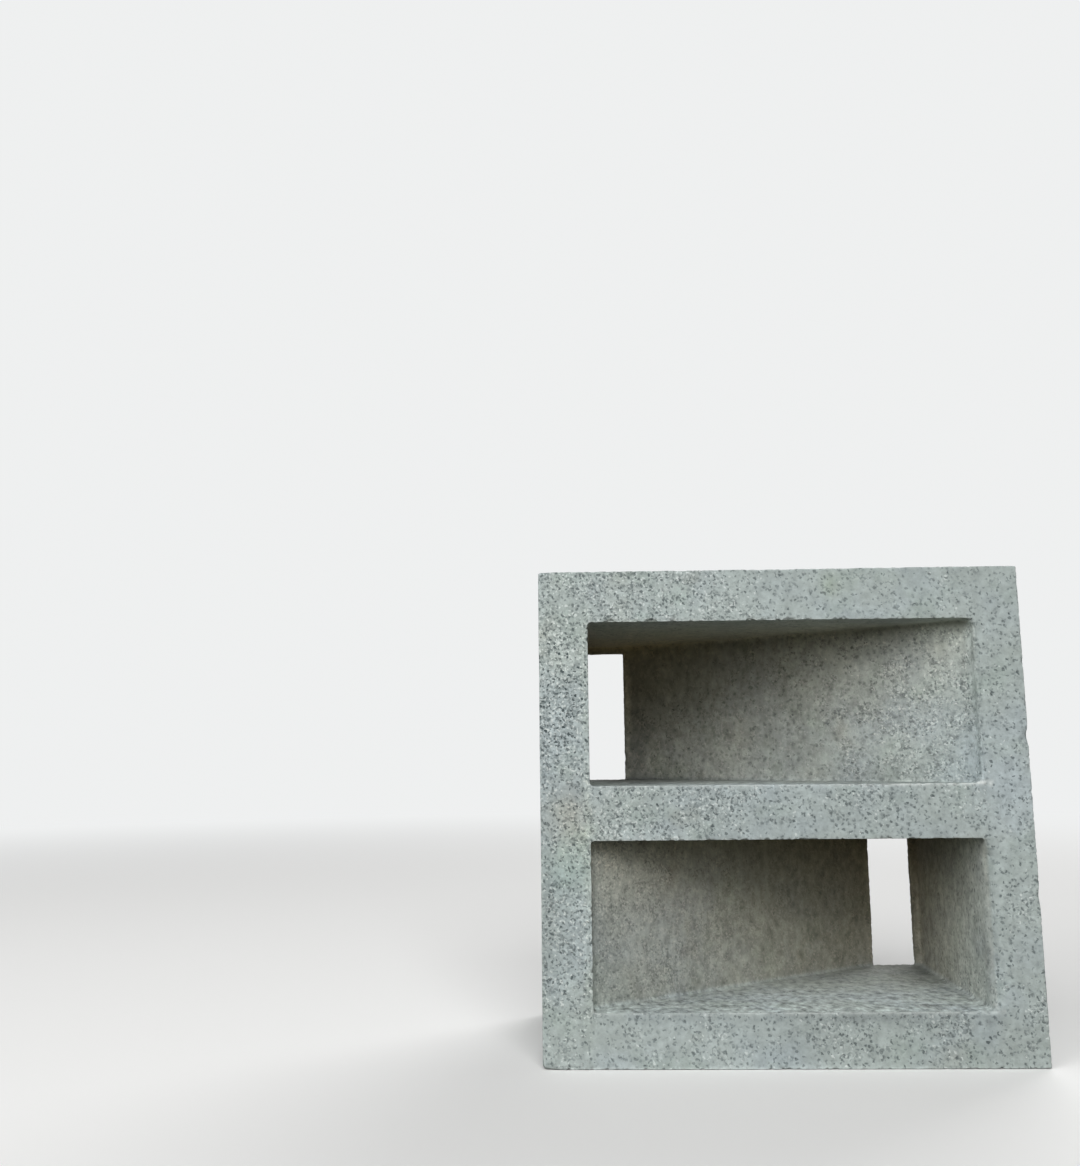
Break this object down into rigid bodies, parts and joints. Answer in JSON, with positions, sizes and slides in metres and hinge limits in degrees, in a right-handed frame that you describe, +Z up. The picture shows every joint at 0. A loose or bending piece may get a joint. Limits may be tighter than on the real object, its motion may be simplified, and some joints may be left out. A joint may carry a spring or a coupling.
{
  "type": "concrete ventilation block",
  "caption": "Square grey concrete ventilation block, open in front, each cell's back slanting to a tall slot that lets air through while it hides the view.",
  "frame": {"origin": "middle of the bottom face, on the surface that the block stands on", "axes": "+X to the right across the open front, +Y from the front to the back, +Z up"},
  "size_m": [0.2, 0.1, 0.2],
  "materials": {
    "concrete": "matte cast concrete with fine dark pores"
  },
  "bodies": {
    "root": {"vent_block": "concrete"}
  },
  "joints": []
}
